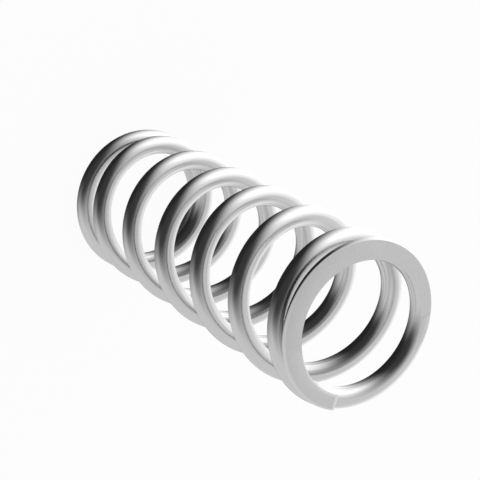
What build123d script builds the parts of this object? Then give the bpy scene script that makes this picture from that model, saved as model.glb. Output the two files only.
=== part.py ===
from build123d import *
import math
import os

# Coil spring of a coil-over shock absorber, in millimetres, +Z up.
# One round wire, wound right-handed, with closed end turns that are ground flat.
# The spring stands on its lower ground face, with the origin on its axis at that face.

# Driving dimensions
wire_diameter = 10.2
inside_diameter = 63.8
free_length = 228.0
total_turns = 7.87
# Thickness that grinding leaves at the two tips of the wire
tip_thickness = 2.1
# Gap that winding leaves beside a closed end turn
closed_gap = 0.2
# Turns at each end that are wound closed, and turns over which the pitch then opens
closed_turns = 0.86
opening_turns = 0.72
# Legs of the 45 degree chamfers on the sharp edges of each ground face, at its tip
outer_chamfer = 0.9
inner_chamfer = 1.1
# The chamfers run out along the edges, because their cones are set off from the axis of the coil
outer_cone_offset = 0.8
inner_cone_offset = 4.0
# Length and drop of the chamfer across each tip
tip_chamfer_length = 1.4
tip_chamfer_drop = 0.8
# Direction of the upper tip, in degrees round the axis from +X
upper_tip_angle = 0.0
# Points of the centre line in each turn
points_per_turn = 16

# Sizes that follow from the driving dimensions
wire_radius = wire_diameter / 2
mean_radius = inside_diameter / 2 + wire_radius
outer_radius = mean_radius + wire_radius
inner_radius = inside_diameter / 2
end_pitch = wire_diameter + closed_gap
# The centre of the wire starts this far outside each ground face
tip_overshoot = wire_radius - tip_thickness
# Half the width of a ground face at its tip
tip_half_width = math.sqrt(wire_radius**2 - tip_overshoot**2)


def opened_turns(turns):
    """Turns at full opening that add up to the opening gained after some turns from a tip."""
    ramp = min(max(turns - closed_turns, 0.0), opening_turns)
    full = max(turns - closed_turns - opening_turns, 0.0)
    return ramp**2 / (2 * opening_turns) + full


def active_turns(turns):
    """Opening gained after some turns from the lower tip, with both ends taken into account."""
    return opened_turns(turns) + opened_turns(total_turns) - opened_turns(total_turns - turns) - turns


active_pitch = end_pitch + (
    free_length + 2 * tip_overshoot - end_pitch * total_turns
) / active_turns(total_turns)


def centre_line():
    """Centre line of the wire, a helix whose pitch opens after the closed end turns."""
    steps = math.ceil(total_turns * points_per_turn)
    points = []
    for step in range(steps + 1):
        turns = total_turns * step / steps
        angle = math.radians(upper_tip_angle - 360 * (total_turns - turns))
        rise = end_pitch * turns + (active_pitch - end_pitch) * active_turns(turns)
        points.append(
            (mean_radius * math.cos(angle), mean_radius * math.sin(angle), rise - tip_overshoot)
        )
    ends = [end_direction(math.radians(upper_tip_angle - 360 * total_turns))]
    ends.append(end_direction(math.radians(upper_tip_angle)))
    return Spline(*points, tangents=ends, tangent_scalars=(1, 1))


def end_direction(angle):
    """Direction of the wire at a tip, where the pitch is that of the closed turns."""
    around = 2 * math.pi * mean_radius
    return (-around * math.sin(angle), around * math.cos(angle), end_pitch)


def wound_wire():
    """The round wire as it leaves the winding machine, with square-cut tips."""
    path = centre_line()
    section = Plane(origin=path @ 0, z_dir=path % 0) * Circle(wire_radius)
    return sweep(section, path=path, is_frenet=True)


def turned(outline, offset):
    """Solid of revolution about an upright axis that is set off towards the upper tip."""
    face = make_face(Polyline(*outline, close=True))
    solid = revolve(Plane.XZ * face, axis=Axis.Z)
    return Pos(offset, 0, 0) * solid


def upper_half():
    """Upper half of the space that grinding and chamfering leave, with the tip towards +X."""
    clear = 2 * wire_diameter
    outer = mean_radius + tip_half_width - outer_chamfer + outer_cone_offset
    inner = mean_radius - tip_half_width + inner_chamfer - inner_cone_offset
    outside = (
        (0, free_length / 2),
        (outer + clear, free_length / 2),
        (outer + clear, free_length - clear),
        (outer, free_length),
        (0, free_length),
    )
    inside = (
        (0, free_length - inner),
        (inner + clear, free_length + clear),
        (0, free_length + clear),
    )
    across = Polyline(
        (-tip_chamfer_length, free_length),
        (tip_chamfer_length, free_length - 2 * tip_chamfer_drop),
        (tip_chamfer_length, free_length),
        close=True,
    )
    tip_cut = Pos(mean_radius, 0, 0) * extrude(
        Plane.YZ * make_face(across), amount=wire_radius, both=True
    )
    return turned(outside, -outer_cone_offset) - turned(inside, inner_cone_offset) - tip_cut


def finishing_envelope():
    """Space that grinding and chamfering of both ends leave, the lower half like the upper one."""
    upper = Rot(0, 0, upper_tip_angle) * upper_half()
    across = math.radians(upper_tip_angle - 180 * total_turns)
    middle = Axis((0, 0, free_length / 2), (math.cos(across), math.sin(across), 0))
    return upper + upper.rotate(middle, 180)


def coil_spring():
    """The finished spring, ground flat and chamfered at both ends."""
    return wound_wire() & finishing_envelope()


os.makedirs("parts", exist_ok=True)
export_step(coil_spring(), "parts/coil_spring.step")
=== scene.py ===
"""Coil spring of a coil-over shock absorber, in polished steel wire with matte ground ends.

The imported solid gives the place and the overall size. The wire is wound here again with a fine,
even mesh, because polished metal shows every facet. Its ends are ground as the solid's are, but
with slightly wider and flatter chamfers.
"""

import math

import bmesh
import bpy
from mathutils import Matrix, Vector


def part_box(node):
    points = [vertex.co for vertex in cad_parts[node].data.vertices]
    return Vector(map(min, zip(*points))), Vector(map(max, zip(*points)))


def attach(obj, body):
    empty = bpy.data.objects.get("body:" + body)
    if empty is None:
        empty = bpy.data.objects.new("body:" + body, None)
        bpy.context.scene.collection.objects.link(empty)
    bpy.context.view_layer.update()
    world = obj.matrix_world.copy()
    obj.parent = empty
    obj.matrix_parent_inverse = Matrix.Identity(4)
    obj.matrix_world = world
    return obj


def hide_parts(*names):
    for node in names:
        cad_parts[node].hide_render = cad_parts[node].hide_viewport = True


bl_info = {
    "name": "Coil spring",
    "version": (1, 0, 0),
    "blender": (4, 5, 0),
    "location": "3D View > Sidebar > Coil spring",
    "description": "Adds a coil spring with ground ends, its steel finishes and a pale studio",
    "category": "Add Mesh",
}

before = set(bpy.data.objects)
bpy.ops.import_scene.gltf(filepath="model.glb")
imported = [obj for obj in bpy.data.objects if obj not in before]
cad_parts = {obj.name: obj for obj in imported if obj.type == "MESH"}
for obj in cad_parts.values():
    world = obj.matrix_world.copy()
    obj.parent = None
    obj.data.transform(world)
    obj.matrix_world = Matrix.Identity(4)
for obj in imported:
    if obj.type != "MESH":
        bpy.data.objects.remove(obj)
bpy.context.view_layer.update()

SPRING_NODE = "coil_spring"
FRAME_LOW, FRAME_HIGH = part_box(SPRING_NODE)

# UV map of the wire, with the length along it in metres and the share of the way round it
WIRE_UV = "wire_length_and_girth"
# Steps of the wire that are wound in one stretch
STRETCH_STEPS = 12
# Distance under which two corners are merged and two heights are the same
TOLERANCE = 1e-6
# Angle between two faces from which their edge is shaded as a sharp one
SHARP_ANGLE = math.radians(30)
# Layers of noise, each finer than the last, that make up the grain of the steel
GRAIN_DETAIL = 3
# Width of the camera's sensor, in millimetres
SENSOR_WIDTH = 36
# Patches of the studio, in degrees: lean from the camera's direction, heading in the picture
# from its right-hand side, size to the half-way edge and softness; width is relative to height
STUDIO_PATCHES = (
    {"lean": 135, "heading": 340, "size": 34, "softness": 30, "width": 1.0, "level": 1.2},
    {"lean": 157, "heading": 132, "size": 17, "softness": 12, "width": 1.0, "level": 0.02},
    {"lean": 166, "heading": 235, "size": 18, "softness": 14, "width": 1.0, "level": 0.45},
    {"lean": 21, "heading": 141, "size": 43.5, "softness": 55, "width": 1.87, "level": 0.05},
)


# Settings


class SpringSizes(bpy.types.PropertyGroup):
    """Sizes of the spring. Its height and outer diameter come from the frame."""

    wire_diameter: bpy.props.FloatProperty(
        name="Wire diameter",
        description="Diameter of the round wire",
        default=0.0102,
        unit="LENGTH",
        precision=5,
    )
    total_turns: bpy.props.FloatProperty(
        name="Total turns",
        description="Turns of the wire from tip to tip, with the closed ends",
        default=7.87,
    )
    tip_thickness: bpy.props.FloatProperty(
        name="Tip thickness",
        description="Thickness that grinding leaves at the two tips of the wire",
        default=0.0021,
        unit="LENGTH",
        precision=5,
    )
    closed_gap: bpy.props.FloatProperty(
        name="Closed gap",
        description="Gap that winding leaves beside a closed end turn",
        default=0.0002,
        unit="LENGTH",
        precision=5,
    )
    closed_turns: bpy.props.FloatProperty(
        name="Closed turns",
        description="Turns at each end that are wound closed",
        default=0.86,
    )
    opening_turns: bpy.props.FloatProperty(
        name="Opening turns",
        description="Turns over which the pitch opens after a closed end",
        default=0.72,
    )
    outer_chamfer: bpy.props.FloatProperty(
        name="Outer chamfer",
        description="Width, at a tip, of the chamfer outside its ground face",
        default=0.0011,
        unit="LENGTH",
        precision=5,
    )
    inner_chamfer: bpy.props.FloatProperty(
        name="Inner chamfer",
        description="Width, at a tip, of the chamfer inside its ground face",
        default=0.0014,
        unit="LENGTH",
        precision=5,
    )
    chamfer_slope: bpy.props.FloatProperty(
        name="Chamfer slope",
        description="Depth of the chamfers beside a ground face, as a share of their width",
        default=0.4,
        subtype="FACTOR",
    )
    outer_cone_offset: bpy.props.FloatProperty(
        name="Outer cone offset",
        description="Distance of the outer chamfer's cone from the axis, away from the tip",
        default=0.0008,
        unit="LENGTH",
        precision=5,
    )
    inner_cone_offset: bpy.props.FloatProperty(
        name="Inner cone offset",
        description="Distance of the inner chamfer's cone from the axis, towards the tip",
        default=0.004,
        unit="LENGTH",
        precision=5,
    )
    tip_chamfer_length: bpy.props.FloatProperty(
        name="Tip chamfer length",
        description="Length, along the wire, of the chamfer across each tip",
        default=0.0016,
        unit="LENGTH",
        precision=5,
    )
    tip_chamfer_drop: bpy.props.FloatProperty(
        name="Tip chamfer drop",
        description="Depth of the chamfer across each tip at the end of the wire",
        default=0.0004,
        unit="LENGTH",
        precision=5,
    )
    upper_tip_angle: bpy.props.FloatProperty(
        name="Upper tip angle",
        description="Direction of the upper tip of the wire, round the axis from +X",
        default=0.0,
        unit="ROTATION",
    )
    wire_sides: bpy.props.IntProperty(
        name="Sides of the wire",
        description="Faces round the wire",
        default=56,
    )
    steps_per_turn: bpy.props.IntProperty(
        name="Steps in a turn",
        description="Faces along one turn of the wire",
        default=144,
    )


class SteelFinish(bpy.types.PropertyGroup):
    """Colours, roughness, grain and reflections of the wire and of its ground ends."""

    wire_color: bpy.props.FloatVectorProperty(
        name="Wire colour",
        description="Colour of the polished steel wire",
        subtype="COLOR",
        default=(0.66, 0.66, 0.66),
        min=0.0,
        max=1.0,
    )
    wire_roughness: bpy.props.FloatProperty(
        name="Wire roughness",
        description="Roughness of the polished steel wire",
        default=0.2,
        subtype="FACTOR",
    )
    wire_unevenness: bpy.props.FloatProperty(
        name="Wire unevenness",
        description="Change of the wire's colour and roughness along its drawn grain",
        default=0.08,
        subtype="FACTOR",
    )
    wire_grain_width: bpy.props.FloatProperty(
        name="Wire grain width",
        description="Width of the drawn grain, round the wire",
        default=0.0008,
        unit="LENGTH",
        precision=5,
    )
    wire_grain_length: bpy.props.FloatProperty(
        name="Wire grain length",
        description="Length of the drawn grain, along the wire",
        default=0.04,
        unit="LENGTH",
        precision=5,
    )
    wire_grain_depth: bpy.props.FloatProperty(
        name="Wire grain depth",
        description="Depth of the drawn grain",
        default=0.000003,
        unit="LENGTH",
        precision=6,
    )
    own_reflection_near: bpy.props.FloatProperty(
        name="Own reflection nearby",
        description="Distance up to which the spring shows fully in its own reflections",
        default=0.008,
        unit="LENGTH",
        precision=5,
    )
    own_reflection_far: bpy.props.FloatProperty(
        name="Own reflection from afar",
        description="Distance from which the spring shows only as a tint in its own reflections",
        default=0.02,
        unit="LENGTH",
        precision=5,
    )
    own_shade: bpy.props.FloatVectorProperty(
        name="Own shade",
        description="Tint that each surface of the spring gives from afar to its own reflections",
        subtype="COLOR",
        default=(0.85, 0.85, 0.85),
        min=0.0,
        max=1.0,
    )
    ground_color: bpy.props.FloatVectorProperty(
        name="Ground face colour",
        description="Colour of the flat faces that grinding leaves",
        subtype="COLOR",
        default=(0.66, 0.66, 0.66),
        min=0.0,
        max=1.0,
    )
    ground_roughness: bpy.props.FloatProperty(
        name="Ground face roughness",
        description="Roughness of the flat faces that grinding leaves",
        default=0.5,
        subtype="FACTOR",
    )
    # The chamfers are real, but their colour is lighter than the ground faces' steel, a painted
    # highlight along the edges of the ground faces and tips
    edge_color_with_painted_highlight: bpy.props.FloatVectorProperty(
        name="Chamfer colour",
        description="Colour of the chamfers round the ground faces",
        subtype="COLOR",
        default=(0.72, 0.72, 0.72),
        min=0.0,
        max=1.0,
    )
    edge_roughness: bpy.props.FloatProperty(
        name="Chamfer roughness",
        description="Roughness of the chamfers round the ground faces",
        default=0.35,
        subtype="FACTOR",
    )
    ground_unevenness: bpy.props.FloatProperty(
        name="Ground face unevenness",
        description="Change of the colour and roughness over the ground faces and chamfers",
        default=0.12,
        subtype="FACTOR",
    )
    ground_grain_width: bpy.props.FloatProperty(
        name="Ground face grain width",
        description="Width of the mottled grain of the ground faces",
        default=0.0009,
        unit="LENGTH",
        precision=5,
    )
    ground_grain_depth: bpy.props.FloatProperty(
        name="Ground face grain depth",
        description="Depth of the mottled grain of the ground faces",
        default=0.000008,
        unit="LENGTH",
        precision=6,
    )


class StudioSettings(bpy.types.PropertyGroup):
    """Floor, surroundings and camera."""

    floor_size: bpy.props.FloatProperty(
        name="Floor size",
        description="Side of the square floor",
        default=8.0,
        unit="LENGTH",
    )
    floor_color: bpy.props.FloatVectorProperty(
        name="Floor colour",
        description="Colour of the plain floor",
        subtype="COLOR",
        default=(0.95, 0.95, 0.95),
        min=0.0,
        max=1.0,
    )
    floor_roughness: bpy.props.FloatProperty(
        name="Floor roughness",
        description="Roughness of the plain floor",
        default=0.9,
        subtype="FACTOR",
    )
    floor_whiteness: bpy.props.FloatProperty(
        name="Floor whiteness",
        description="Share of plain white in the floor as the camera sees it",
        default=0.95,
        subtype="FACTOR",
    )
    bright_side: bpy.props.FloatProperty(
        name="Bright side",
        description="Light level of the bright side of the studio",
        default=1.8,
    )
    pale_side: bpy.props.FloatProperty(
        name="Pale side",
        description="Light level of the pale side of the studio",
        default=0.82,
    )
    dark_side: bpy.props.FloatProperty(
        name="Dark side",
        description="Light level of the dark side of the studio",
        default=0.026,
    )
    dark_direction: bpy.props.FloatProperty(
        name="Dark direction",
        description="Direction of the dark side in the picture, from its right-hand side upwards",
        default=math.radians(140),
        unit="ROTATION",
    )
    aim: bpy.props.FloatVectorProperty(
        name="Aim",
        description="Point that the camera looks at",
        default=(-0.0075, 0.0020, 0.1105),
        subtype="XYZ",
        unit="LENGTH",
        precision=5,
    )
    camera_distance: bpy.props.FloatProperty(
        name="Camera distance",
        description="Distance of the camera from its aim",
        default=0.7097,
        unit="LENGTH",
        precision=5,
    )
    camera_azimuth: bpy.props.FloatProperty(
        name="Camera azimuth",
        description="Direction of the camera round the object, from the -Y side towards +X",
        default=math.radians(-14.92),
        unit="ROTATION",
    )
    camera_elevation: bpy.props.FloatProperty(
        name="Camera elevation",
        description="Height of the camera above the horizon, as an angle at its aim",
        default=math.radians(54.89),
        unit="ROTATION",
    )
    camera_roll: bpy.props.FloatProperty(
        name="Camera roll",
        description="Turn of the camera about its line of sight",
        default=math.radians(119.36),
        unit="ROTATION",
    )
    camera_lens: bpy.props.FloatProperty(
        name="Camera lens",
        description="Focal length of the camera",
        default=101.04,
        unit="CAMERA",
    )


# Winding


def tip_overshoot(sizes):
    """Distance outside each ground face at which the middle of the wire starts."""
    return sizes.wire_diameter / 2 - sizes.tip_thickness


def mean_radius(sizes):
    """Distance of the middle of the wire from the axis."""
    return (FRAME_HIGH.x - FRAME_LOW.x) / 2 - sizes.wire_diameter / 2


def opened_turns(sizes, turns):
    """Turns at full opening that add up to the opening gained after some turns from a tip."""
    ramp = min(max(turns - sizes.closed_turns, 0.0), sizes.opening_turns)
    full = max(turns - sizes.closed_turns - sizes.opening_turns, 0.0)
    return ramp**2 / (2 * sizes.opening_turns) + full


def active_turns(sizes, turns):
    """Opening gained after some turns from the lower tip, with both ends taken into account."""
    late = opened_turns(sizes, sizes.total_turns) - opened_turns(sizes, sizes.total_turns - turns)
    return opened_turns(sizes, turns) + late - turns


def wire_height(sizes, turns):
    """Height of the middle of the wire after some turns from the lower tip."""
    free_length = FRAME_HIGH.z - FRAME_LOW.z
    end_pitch = sizes.wire_diameter + sizes.closed_gap
    opening = free_length + 2 * tip_overshoot(sizes) - end_pitch * sizes.total_turns
    share = active_turns(sizes, turns) / active_turns(sizes, sizes.total_turns)
    return FRAME_LOW.z - tip_overshoot(sizes) + end_pitch * turns + opening * share


def wire_lead(sizes, turns):
    """Angle of the wire above the horizon after some turns from the lower tip."""
    small = 0.001
    rise = wire_height(sizes, turns + small) - wire_height(sizes, turns - small)
    return math.atan2(rise, 4 * math.pi * small * mean_radius(sizes))


def wire_direction(sizes, turns):
    """Turn about the axis that brings +X to the wire after some turns from the lower tip."""
    around = sizes.upper_tip_angle + 2 * math.pi * (turns - sizes.total_turns)
    return Matrix.Rotation(around, 4, "Z")


def ring_place(sizes, turns):
    """Place of a ring of the wire, square to the wire after some turns from the lower tip."""
    return (
        wire_direction(sizes, turns)
        @ Matrix.Translation((mean_radius(sizes), 0, wire_height(sizes, turns)))
        @ Matrix.Rotation(wire_lead(sizes, turns) - math.pi / 2, 4, "X")
    )


def wound_stretch(sizes, first, last, turns_per_step):
    """Mesh of a short stretch of the wire, between two of its steps, with its UV map."""
    bm = bmesh.new()
    rank = bm.verts.layers.int.new("rank")
    step_of = bm.verts.layers.int.new("step")
    ring = bmesh.ops.create_circle(
        bm,
        segments=sizes.wire_sides,
        radius=sizes.wire_diameter / 2,
        matrix=ring_place(sizes, first * turns_per_step),
    )["verts"]
    edges = list(bm.edges)
    for number, vert in enumerate(ring):
        vert[rank] = number
        vert[step_of] = first
    for step in range(first + 1, last + 1):
        before, after = (step - 1) * turns_per_step, step * turns_per_step
        spun = bmesh.ops.spin(
            bm,
            geom=ring + edges,
            cent=(0, 0, 0),
            axis=(0, 0, 1),
            dvec=(0, 0, wire_height(sizes, after) - wire_height(sizes, before)),
            angle=2 * math.pi * turns_per_step,
            steps=1,
        )["geom_last"]
        ring = [part for part in spun if isinstance(part, bmesh.types.BMVert)]
        edges = [part for part in spun if isinstance(part, bmesh.types.BMEdge)]
        for vert in ring:
            vert[step_of] = step
        place = ring_place(sizes, after)
        tilt = wire_lead(sizes, after) - wire_lead(sizes, before)
        outward = place.to_3x3() @ Vector((1, 0, 0))
        bmesh.ops.rotate(
            bm,
            verts=ring,
            cent=place.translation,
            matrix=Matrix.Rotation(tilt, 3, outward),
        )
    map_stretch(bm, sizes, 2 * math.pi * mean_radius(sizes) * turns_per_step)
    return bm


def map_stretch(bm, sizes, step_length):
    """Adds the wire's UV map to a stretch, from the rank in the ring and the step of its corners."""
    uv = bm.loops.layers.uv.new(WIRE_UV)
    rank = bm.verts.layers.int["rank"]
    step_of = bm.verts.layers.int["step"]
    for face in bm.faces:
        ranks = {loop.vert[rank] for loop in face.loops}
        closes = {0, sizes.wire_sides - 1} <= ranks
        for loop in face.loops:
            number = loop.vert[rank]
            if closes and number == 0:
                number = sizes.wire_sides
            loop[uv].uv = (loop.vert[step_of] * step_length, number / sizes.wire_sides)


def wound_wire(sizes):
    """Mesh of the wire as it leaves the winding machine, with square-cut tips.

    It is wound in short stretches, because each spin goes through the whole mesh it is given.
    """
    steps = math.ceil(sizes.total_turns * sizes.steps_per_turn)
    turns_per_step = sizes.total_turns / steps
    bm = bmesh.new()
    for first in range(0, steps, STRETCH_STEPS):
        last = min(first + STRETCH_STEPS, steps)
        stretch = bpy.data.meshes.new("stretch")
        part = wound_stretch(sizes, first, last, turns_per_step)
        part.to_mesh(stretch)
        part.free()
        bm.from_mesh(stretch)
        bpy.data.meshes.remove(stretch)
    bmesh.ops.remove_doubles(bm, verts=bm.verts, dist=TOLERANCE)
    bmesh.ops.holes_fill(bm, edges=[edge for edge in bm.edges if edge.is_boundary], sides=0)
    bmesh.ops.recalc_face_normals(bm, faces=bm.faces)
    return bm


# Grinding


def envelope_corners(sizes):
    """Radius, height and shift from the axis of each corner of the finishing envelope."""
    tip_half_width = math.sqrt((sizes.wire_diameter / 2) ** 2 - tip_overshoot(sizes) ** 2)
    outer_edge = mean_radius(sizes) + tip_half_width - sizes.outer_chamfer
    inner_edge = mean_radius(sizes) - tip_half_width + sizes.inner_chamfer
    outer = outer_edge + sizes.outer_cone_offset
    inner = inner_edge - sizes.inner_cone_offset
    clear = 2 * sizes.wire_diameter
    depth = sizes.chamfer_slope * clear
    low, high = FRAME_LOW.z, FRAME_HIGH.z
    upper_tip = wire_direction(sizes, sizes.total_turns) @ Vector((1, 0, 0))
    lower_tip = wire_direction(sizes, 0) @ Vector((1, 0, 0))
    return (
        (outer, low, -sizes.outer_cone_offset * lower_tip),
        (outer + clear, low + depth, -sizes.outer_cone_offset * lower_tip),
        (outer + clear, high - depth, -sizes.outer_cone_offset * upper_tip),
        (outer, high, -sizes.outer_cone_offset * upper_tip),
        (inner, high, sizes.inner_cone_offset * upper_tip),
        (inner - clear, high - depth, sizes.inner_cone_offset * upper_tip),
        (inner - clear, low + depth, sizes.inner_cone_offset * lower_tip),
        (inner, low, sizes.inner_cone_offset * lower_tip),
    )


def finishing_envelope(sizes):
    """Mesh of the ring-shaped space that grinding and chamfering leave to the coil.

    The cones of the chamfers are set off from the axis, so that each chamfer runs out along
    the edge of its ground face. The level faces have the first material, the cones the second.
    """
    corners = envelope_corners(sizes)
    bm = bmesh.new()
    corner_of = bm.verts.layers.int.new("corner")
    outline = []
    for number, (radius, height, _) in enumerate(corners):
        vert = bm.verts.new((radius, 0, height))
        vert[corner_of] = number
        outline.append(vert)
    sides = [bm.edges.new((outline[i - 1], outline[i])) for i in range(len(outline))]
    bmesh.ops.spin(
        bm,
        geom=outline + sides,
        cent=(0, 0, 0),
        axis=(0, 0, 1),
        angle=2 * math.pi,
        steps=2 * sizes.steps_per_turn,
        use_merge=True,
    )
    bmesh.ops.remove_doubles(bm, verts=bm.verts, dist=TOLERANCE)
    for number, (_, _, shift) in enumerate(corners):
        ring = [vert for vert in bm.verts if vert[corner_of] == number]
        bmesh.ops.translate(bm, verts=ring, vec=shift)
    bmesh.ops.recalc_face_normals(bm, faces=bm.faces)
    for face in bm.faces:
        heights = [vert.co.z for vert in face.verts]
        face.material_index = 0 if max(heights) - min(heights) < TOLERANCE else 1
    return bm


def tip_wedges(sizes):
    """Mesh of the two wedges that are ground off across the tips."""
    bm = bmesh.new()
    radius = mean_radius(sizes)
    half_width = Vector((sizes.wire_diameter / 2, 0, 0))
    reach = 2 * sizes.tip_chamfer_length
    # The slope starts on the ground face, before the tip, and goes on as far beyond it
    corners = (
        (0, -sizes.tip_chamfer_length, 0),
        (0, sizes.tip_chamfer_length, -2 * sizes.tip_chamfer_drop),
        (0, reach, 0),
        (0, 0, reach),
    )
    half_turn = Matrix.Rotation(math.pi, 4, "X")
    places = (
        wire_direction(sizes, sizes.total_turns) @ Matrix.Translation((radius, 0, FRAME_HIGH.z)),
        wire_direction(sizes, 0) @ Matrix.Translation((radius, 0, FRAME_LOW.z)) @ half_turn,
    )
    for place in places:
        outline = [bm.verts.new(place @ (Vector(corner) - half_width)) for corner in corners]
        swept = bmesh.ops.extrude_face_region(bm, geom=[bm.faces.new(outline)])["geom"]
        far = [part for part in swept if isinstance(part, bmesh.types.BMVert)]
        bmesh.ops.translate(bm, verts=far, vec=place.to_3x3() @ (2 * half_width))
    bmesh.ops.recalc_face_normals(bm, faces=bm.faces)
    return bm


def mesh_object(name, bm, *materials):
    """Object of a finished bmesh, with its place in its mesh."""
    mesh = bpy.data.meshes.new(name)
    bm.to_mesh(mesh)
    bm.free()
    for material in materials:
        mesh.materials.append(material)
    piece = bpy.data.objects.new(name, mesh)
    bpy.context.scene.collection.objects.link(piece)
    return piece


def cut_with(piece, tool, operation):
    """Cuts a piece with a tool, whose material goes to the new faces, and removes the tool."""
    cut = piece.modifiers.new("Grinding", "BOOLEAN")
    cut.operation = operation
    cut.object = tool
    cut.solver = "EXACT"
    cut.material_mode = "TRANSFER"
    bpy.context.view_layer.update()
    graph = bpy.context.evaluated_depsgraph_get()
    ground = bpy.data.meshes.new_from_object(piece.evaluated_get(graph), depsgraph=graph)
    piece.modifiers.remove(cut)
    rough = piece.data
    piece.data = ground
    bpy.data.meshes.remove(rough)
    bpy.data.objects.remove(tool)


# Shader nodes


def feed(links, socket, value):
    """Gives a node's input a plain value or another node's output."""
    if isinstance(value, bpy.types.NodeSocket):
        links.new(value, socket)
    else:
        socket.default_value = value


def math_node(nodes, links, operation, *values):
    """Output of a Math node whose inputs are given numbers or other nodes' outputs."""
    node = nodes.new("ShaderNodeMath")
    node.operation = operation
    for socket, value in zip(node.inputs, values):
        feed(links, socket, value)
    return node.outputs["Value"]


def vector_node(nodes, links, operation, *vectors):
    """Vector Math node whose inputs are given vectors or other nodes' outputs."""
    node = nodes.new("ShaderNodeVectorMath")
    node.operation = operation
    for socket, vector in zip(node.inputs, vectors):
        feed(links, socket, vector)
    return node


def scaled(nodes, links, vector, scale):
    """Output of a vector or a colour that is multiplied by a number."""
    node = vector_node(nodes, links, "SCALE", vector)
    feed(links, node.inputs["Scale"], scale)
    return node.outputs["Vector"]


def smooth_rise(nodes, links, value, start, end):
    """Output that rises smoothly from 0 to 1 as another one goes from a start to an end."""
    node = nodes.new("ShaderNodeMapRange")
    node.interpolation_type = "SMOOTHSTEP"
    node.inputs["From Min"].default_value = start
    node.inputs["From Max"].default_value = end
    links.new(value, node.inputs["Value"])
    return node.outputs["Result"]


def mixed_colors(nodes, links, share, first, second):
    """Output of two colours that are mixed by the share of the second."""
    node = nodes.new("ShaderNodeMix")
    node.data_type = "RGBA"
    feed(links, node.inputs["Factor"], share)
    feed(links, node.inputs["A"], first)
    feed(links, node.inputs["B"], second)
    return node.outputs["Result"]


def new_material(name):
    """Material with a Principled BSDF, and that node's shader."""
    material = bpy.data.materials.new(name)
    material.use_nodes = True
    shader = material.node_tree.nodes["Principled BSDF"]
    return material, shader


def mix_in(material, share, shader):
    """Mixes a share of another shader into a material's Principled BSDF."""
    nodes, links = material.node_tree.nodes, material.node_tree.links
    mix = nodes.new("ShaderNodeMixShader")
    own, other = mix.inputs[1], mix.inputs[2]
    links.new(share, mix.inputs["Fac"])
    links.new(nodes["Principled BSDF"].outputs["BSDF"], own)
    links.new(shader, other)
    links.new(mix.outputs["Shader"], nodes["Material Output"].inputs["Surface"])


# Finishes


def steel_grain():
    """Node group that makes a colour and a roughness uneven, with the height of the grain."""
    group = bpy.data.node_groups.new("steel_grain", "ShaderNodeTree")
    for name, side, kind in (
        ("Place", "INPUT", "NodeSocketVector"),
        ("Color", "INPUT", "NodeSocketColor"),
        ("Roughness", "INPUT", "NodeSocketFloat"),
        ("Unevenness", "INPUT", "NodeSocketFloat"),
        ("Color", "OUTPUT", "NodeSocketColor"),
        ("Roughness", "OUTPUT", "NodeSocketFloat"),
        ("Height", "OUTPUT", "NodeSocketFloat"),
    ):
        group.interface.new_socket(name, in_out=side, socket_type=kind)
    nodes, links = group.nodes, group.links
    given = nodes.new("NodeGroupInput").outputs
    result = nodes.new("NodeGroupOutput").inputs
    # The place comes in widths of the grain, so the noise needs no scale of its own
    noise = nodes.new("ShaderNodeTexNoise")
    noise.inputs["Scale"].default_value = 1
    noise.inputs["Detail"].default_value = GRAIN_DETAIL
    links.new(given["Place"], noise.inputs["Vector"])
    height = noise.outputs["Fac"]
    from_middle = math_node(nodes, links, "MULTIPLY_ADD", height, 2, -1)
    swing = math_node(nodes, links, "MULTIPLY", from_middle, given["Unevenness"])
    lighter = math_node(nodes, links, "ADD", swing, 1)
    rougher = math_node(
        nodes, links, "MULTIPLY_ADD", given["Roughness"], swing, given["Roughness"]
    )
    links.new(scaled(nodes, links, given["Color"], lighter), result["Color"])
    links.new(rougher, result["Roughness"])
    links.new(height, result["Height"])
    return group


def grained_steel(name, grain, color, roughness, unevenness, depth):
    """Material of bare steel with an uneven finish, and the input for the place in its grain."""
    material, shader = new_material(name)
    nodes, links = material.node_tree.nodes, material.node_tree.links
    finish = nodes.new("ShaderNodeGroup")
    finish.node_tree = grain
    finish.inputs["Color"].default_value = (*color, 1)
    finish.inputs["Roughness"].default_value = roughness
    finish.inputs["Unevenness"].default_value = unevenness
    bump = nodes.new("ShaderNodeBump")
    bump.inputs["Distance"].default_value = depth
    links.new(finish.outputs["Height"], bump.inputs["Height"])
    shader.inputs["Metallic"].default_value = 1.0
    links.new(finish.outputs["Color"], shader.inputs["Base Color"])
    links.new(finish.outputs["Roughness"], shader.inputs["Roughness"])
    links.new(bump.outputs["Normal"], shader.inputs["Normal"])
    return material, finish.inputs["Place"]


def fade_own_reflection(material, finish):
    """Lets the spring show only as a tint in its own reflections, except from close by."""
    nodes, links = material.node_tree.nodes, material.node_tree.links
    path = nodes.new("ShaderNodeLightPath")
    afar = smooth_rise(
        nodes,
        links,
        path.outputs["Ray Length"],
        finish.own_reflection_near,
        finish.own_reflection_far,
    )
    faded = math_node(nodes, links, "MULTIPLY", path.outputs["Is Glossy Ray"], afar)
    tint = nodes.new("ShaderNodeBsdfTransparent")
    tint.inputs["Color"].default_value = (*finish.own_shade, 1)
    mix_in(material, faded, tint.outputs["BSDF"])


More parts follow.
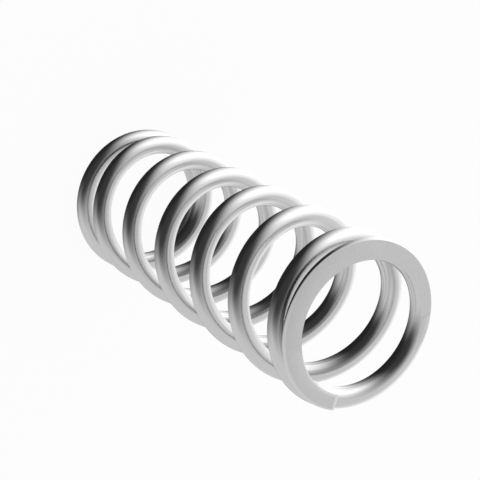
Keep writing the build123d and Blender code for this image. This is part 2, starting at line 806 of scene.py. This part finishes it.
def place_in_wire(nodes, links, sizes, finish):
    """Place on the wire as if it were straight, in widths and lengths of its drawn grain."""
    uv = nodes.new("ShaderNodeUVMap")
    uv.uv_map = WIRE_UV
    parts = nodes.new("ShaderNodeSeparateXYZ")
    links.new(uv.outputs["UV"], parts.inputs["Vector"])
    length, share_round = parts.outputs["X"], parts.outputs["Y"]
    angle = math_node(nodes, links, "MULTIPLY", share_round, 2 * math.pi)
    reach = sizes.wire_diameter / 2 / finish.wire_grain_width
    place = nodes.new("ShaderNodeCombineXYZ")
    for axis, operation in (("X", "COSINE"), ("Y", "SINE")):
        across = math_node(nodes, links, operation, angle)
        links.new(math_node(nodes, links, "MULTIPLY", across, reach), place.inputs[axis])
    along = math_node(nodes, links, "MULTIPLY", length, 1 / finish.wire_grain_length)
    links.new(along, place.inputs["Z"])
    return place.outputs["Vector"]


def polished_wire(grain, sizes, finish):
    """Drawn and polished steel, with a faint grain along the wire."""
    material, place = grained_steel(
        "polished_wire",
        grain,
        finish.wire_color,
        finish.wire_roughness,
        finish.wire_unevenness,
        finish.wire_grain_depth,
    )
    nodes, links = material.node_tree.nodes, material.node_tree.links
    links.new(place_in_wire(nodes, links, sizes, finish), place)
    fade_own_reflection(material, finish)
    return material


def ground_steel(name, grain, color, roughness, finish):
    """Matte steel with the mottled grain that a grinding wheel leaves."""
    material, place = grained_steel(
        name, grain, color, roughness, finish.ground_unevenness, finish.ground_grain_depth
    )
    nodes, links = material.node_tree.nodes, material.node_tree.links
    point = nodes.new("ShaderNodeTexCoord").outputs["Object"]
    links.new(scaled(nodes, links, point, 1 / finish.ground_grain_width), place)
    fade_own_reflection(material, finish)
    return material


# Studio


def floor_material(studio):
    """Plain white floor, which still takes a faint shadow."""
    material, shader = new_material("pale_floor")
    nodes, links = material.node_tree.nodes, material.node_tree.links
    shader.inputs["Base Color"].default_value = (*studio.floor_color, 1)
    shader.inputs["Roughness"].default_value = studio.floor_roughness
    shader.inputs["Specular IOR Level"].default_value = 0.0
    path = nodes.new("ShaderNodeLightPath").outputs
    seen = math_node(nodes, links, "MAXIMUM", path["Is Camera Ray"], path["Is Transmission Ray"])
    share = math_node(nodes, links, "MULTIPLY", seen, studio.floor_whiteness)
    white = nodes.new("ShaderNodeEmission")
    mix_in(material, share, white.outputs["Emission"])
    return material


def camera_turn(studio):
    """Orientation of the camera: its X to the right of the picture, its Y up and its Z backwards."""
    level = math.cos(studio.camera_elevation)
    back = Vector(
        (
            math.sin(studio.camera_azimuth) * level,
            -math.cos(studio.camera_azimuth) * level,
            math.sin(studio.camera_elevation),
        )
    )
    upright = (-back).to_track_quat("-Z", "Y").to_matrix()
    return upright @ Matrix.Rotation(studio.camera_roll, 3, "Z")


def picture_direction(nodes, links, studio):
    """Direction of the light in the picture's own axes: right, up and towards the camera."""
    direction = nodes.new("ShaderNodeTexCoord")
    turned = nodes.new("ShaderNodeMapping")
    turned.vector_type = "TEXTURE"
    turned.inputs["Rotation"].default_value = camera_turn(studio).to_euler()
    links.new(direction.outputs["Generated"], turned.inputs["Vector"])
    return turned.outputs["Vector"]


def side_ramp(nodes, links, direction, studio):
    """Light level of the sides of the studio, which go round the camera's line of sight."""
    parts = nodes.new("ShaderNodeSeparateXYZ")
    links.new(direction, parts.inputs["Vector"])
    angle = math_node(nodes, links, "ARCTAN2", parts.outputs["Y"], parts.outputs["X"])
    start = 1 - studio.dark_direction / (2 * math.pi)
    turns = math_node(nodes, links, "MULTIPLY_ADD", angle, 1 / (2 * math.pi), start)
    share = math_node(nodes, links, "FRACT", turns)
    dark, pale, bright = studio.dark_side, studio.pale_side, studio.bright_side
    # Degrees round from the dark direction, and the light level there
    levels = (
        (0, dark),
        (18, dark),
        (72, pale),
        (208, pale),
        (237, (pale + bright) / 2),
        (257, bright),
        (268, bright),
        (335, dark),
    )
    ramp = nodes.new("ShaderNodeValToRGB")
    ramp.color_ramp.interpolation = "EASE"
    stops = ramp.color_ramp.elements
    while len(stops) < len(levels):
        stops.new(0.5)
    for stop, (degrees, level) in zip(stops, levels):
        stop.position = degrees / 360
        stop.color = (level, level, level, 1)
    links.new(share, ramp.inputs["Fac"])
    return ramp.outputs["Color"]


def soft_patch(nodes, links, direction, around, patch):
    """Light level with a soft round patch, of a level of its own, added to what lies around it."""
    lean, heading = math.radians(patch["lean"]), math.radians(patch["heading"])
    middle = (
        math.sin(lean) * math.cos(heading),
        math.sin(lean) * math.sin(heading),
        math.cos(lean),
    )
    squeezed = vector_node(nodes, links, "MULTIPLY", direction, (1 / patch["width"], 1, 1))
    unit = vector_node(nodes, links, "NORMALIZE", squeezed.outputs["Vector"])
    along = vector_node(nodes, links, "DOT_PRODUCT", unit.outputs["Vector"], middle)
    outside = smooth_rise(
        nodes,
        links,
        math_node(nodes, links, "ARCCOSINE", along.outputs["Value"]),
        math.radians(patch["size"] - patch["softness"] / 2),
        math.radians(patch["size"] + patch["softness"] / 2),
    )
    level = patch["level"]
    return mixed_colors(nodes, links, outside, (level, level, level, 1), around)


def studio_world(studio):
    """Soft surroundings: a bright, a pale and a dark side, and a few soft patches.

    The camera sees plain white instead of them.
    """
    world = bpy.data.worlds.new("studio")
    world.use_nodes = True
    nodes, links = world.node_tree.nodes, world.node_tree.links
    direction = picture_direction(nodes, links, studio)
    level = side_ramp(nodes, links, direction, studio)
    for patch in STUDIO_PATCHES:
        level = soft_patch(nodes, links, direction, level, patch)
    path = nodes.new("ShaderNodeLightPath")
    seen = mixed_colors(nodes, links, path.outputs["Is Camera Ray"], level, (1, 1, 1, 1))
    links.new(seen, nodes["Background"].inputs["Color"])
    bpy.context.scene.world = world


def place_camera(studio):
    """Camera at the viewing angle of the photograph."""
    data = bpy.data.cameras.new("camera")
    data.sensor_width = SENSOR_WIDTH
    data.lens = studio.camera_lens
    camera = bpy.data.objects.new("camera", data)
    turn = camera_turn(studio)
    place = Vector(studio.aim) + turn @ Vector((0, 0, studio.camera_distance))
    camera.matrix_world = Matrix.Translation(place) @ turn.to_4x4()
    bpy.context.scene.collection.objects.link(camera)
    bpy.context.scene.camera = camera


# Operators


class COILSPRING_OT_add_spring(bpy.types.Operator):
    """Wind the spring, grind its ends flat and give it its steel finishes"""

    bl_idname = "coil_spring.add_spring"
    bl_label = "Add spring"

    def execute(self, context):
        sizes = context.scene.spring_sizes
        finish = context.scene.steel_finish
        grain = steel_grain()
        wire_steel = polished_wire(grain, sizes, finish)
        face_steel = ground_steel(
            "ground_faces", grain, finish.ground_color, finish.ground_roughness, finish
        )
        # The chamfers take the lighter colour, a painted highlight round the ground faces and across
        # the tips
        edge_steel = ground_steel(
            "chamfered_edges", grain, finish.edge_color_with_painted_highlight, finish.edge_roughness, finish
        )
        spring = mesh_object("spring", wound_wire(sizes), wire_steel)
        envelope = mesh_object(
            "finishing_envelope", finishing_envelope(sizes), face_steel, edge_steel
        )
        cut_with(spring, envelope, "INTERSECT")
        wedges = mesh_object("tip_wedges", tip_wedges(sizes), edge_steel)
        cut_with(spring, wedges, "DIFFERENCE")
        spring.data.shade_smooth()
        spring.data.set_sharp_from_angle(angle=SHARP_ANGLE)
        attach(spring, "root")
        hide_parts(SPRING_NODE)
        return {"FINISHED"}


class COILSPRING_OT_add_studio(bpy.types.Operator):
    """Add the pale floor, the soft surroundings and the camera"""

    bl_idname = "coil_spring.add_studio"
    bl_label = "Add studio"

    def execute(self, context):
        studio = context.scene.studio_settings
        bm = bmesh.new()
        bmesh.ops.create_grid(
            bm,
            x_segments=1,
            y_segments=1,
            size=studio.floor_size / 2,
            matrix=Matrix.Translation((0, 0, FRAME_LOW.z)),
        )
        floor = mesh_object("floor", bm, floor_material(studio))
        # The steel mirrors the studio's sides from below too, and not the floor
        floor.visible_glossy = False
        studio_world(studio)
        place_camera(studio)
        context.scene.view_settings.view_transform = "Standard"
        return {"FINISHED"}


class COILSPRING_PT_panel(bpy.types.Panel):
    """Buttons that build the spring and its studio"""

    bl_label = "Coil spring"
    bl_idname = "COILSPRING_PT_panel"
    bl_space_type = "VIEW_3D"
    bl_region_type = "UI"
    bl_category = "Coil spring"

    def draw(self, context):
        for operator in OPERATORS:
            self.layout.operator(operator.bl_idname)


SETTINGS = {
    "spring_sizes": SpringSizes,
    "steel_finish": SteelFinish,
    "studio_settings": StudioSettings,
}
OPERATORS = (COILSPRING_OT_add_spring, COILSPRING_OT_add_studio)


def register():
    """Registers the settings, the operators and the panel."""
    for name, group in SETTINGS.items():
        bpy.utils.register_class(group)
        setattr(bpy.types.Scene, name, bpy.props.PointerProperty(type=group))
    for operator in OPERATORS:
        bpy.utils.register_class(operator)
    bpy.utils.register_class(COILSPRING_PT_panel)


def unregister():
    """Removes the panel, the operators and the settings again."""
    bpy.utils.unregister_class(COILSPRING_PT_panel)
    for operator in reversed(OPERATORS):
        bpy.utils.unregister_class(operator)
    for name, group in reversed(SETTINGS.items()):
        delattr(bpy.types.Scene, name)
        bpy.utils.unregister_class(group)


def main():
    """Builds everything in order."""
    register()
    bpy.ops.coil_spring.add_studio()
    bpy.ops.coil_spring.add_spring()


if __name__ == "__main__":
    main()
